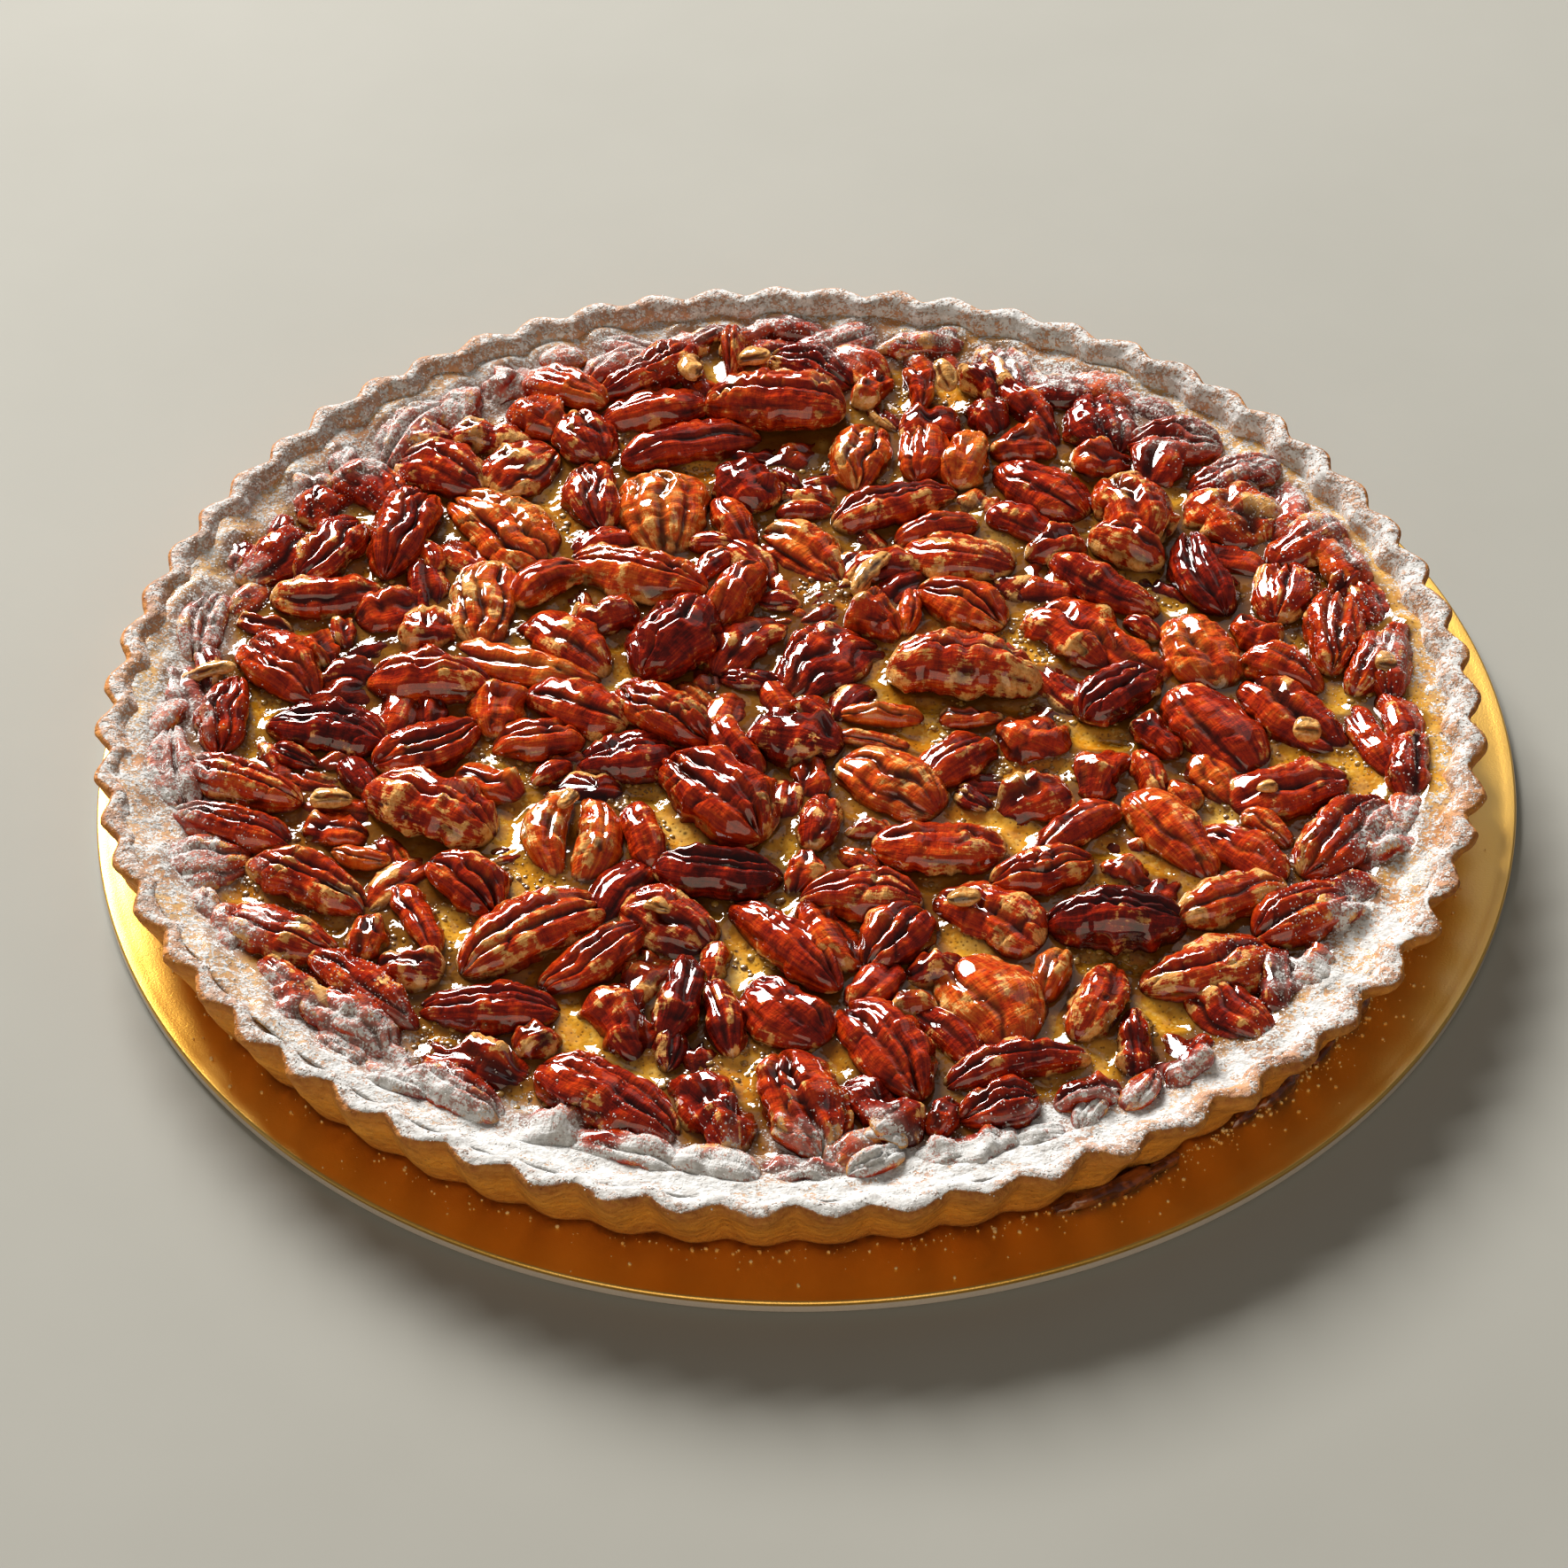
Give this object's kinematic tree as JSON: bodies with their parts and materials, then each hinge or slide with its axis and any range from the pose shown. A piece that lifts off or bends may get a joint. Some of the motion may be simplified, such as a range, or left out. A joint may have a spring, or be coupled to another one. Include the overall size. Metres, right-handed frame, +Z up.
{
  "type": "pecan tart",
  "caption": "Whole round pecan tart in a fluted pastry case, filled with set caramel, topped with glazed pecans and dusted at the rim, on a thin gold cake card.",
  "frame": {"origin": "middle of the card's underside, which is the middle of the footprint at table height", "axes": "+Z up; the tart is round, and -Y is the side nearest a viewer who faces it"},
  "size_m": [0.3, 0.3, 0.0264],
  "materials": {
    "gold_foil": "card covered with smooth gold foil",
    "baked_pastry": "golden-brown baked shortcrust, dry and matte",
    "caramel": "set amber caramel, glossy",
    "glazed_pecan": "roasted red-brown nut under a clear glossy glaze"
  },
  "bodies": {
    "root": {"cake_card": "gold_foil", "crust": "baked_pastry", "filling": "caramel", "pecan_01": "glazed_pecan", "pecan_02": "glazed_pecan", "pecan_03": "glazed_pecan", "pecan_04": "glazed_pecan", "pecan_05": "glazed_pecan", "pecan_06": "glazed_pecan", "pecan_07": "glazed_pecan", "pecan_08": "glazed_pecan", "pecan_09": "glazed_pecan", "pecan_10": "glazed_pecan", "pecan_11": "glazed_pecan", "pecan_12": "glazed_pecan", "pecan_13": "glazed_pecan", "pecan_14": "glazed_pecan", "pecan_15": "glazed_pecan", "pecan_16": "glazed_pecan", "pecan_17": "glazed_pecan", "pecan_18": "glazed_pecan", "pecan_19": "glazed_pecan", "pecan_20": "glazed_pecan", "pecan_21": "glazed_pecan", "pecan_22": "glazed_pecan", "pecan_23": "glazed_pecan", "pecan_24": "glazed_pecan", "pecan_25": "glazed_pecan", "pecan_26": "glazed_pecan", "pecan_27": "glazed_pecan", "pecan_28": "glazed_pecan", "pecan_29": "glazed_pecan", "pecan_30": "glazed_pecan", "pecan_31": "glazed_pecan", "pecan_32": "glazed_pecan", "pecan_33": "glazed_pecan", "pecan_34": "glazed_pecan", "pecan_35": "glazed_pecan", "pecan_36": "glazed_pecan", "pecan_37": "glazed_pecan", "pecan_38": "glazed_pecan", "pecan_39": "glazed_pecan", "pecan_40": "glazed_pecan", "pecan_41": "glazed_pecan", "pecan_42": "glazed_pecan", "pecan_43": "glazed_pecan", "pecan_44": "glazed_pecan", "pecan_45": "glazed_pecan", "pecan_46": "glazed_pecan", "pecan_47": "glazed_pecan", "pecan_48": "glazed_pecan", "pecan_49": "glazed_pecan", "pecan_50": "glazed_pecan", "pecan_51": "glazed_pecan", "pecan_52": "glazed_pecan", "pecan_53": "glazed_pecan", "pecan_54": "glazed_pecan", "pecan_55": "glazed_pecan", "pecan_56": "glazed_pecan"}
  },
  "joints": []
}
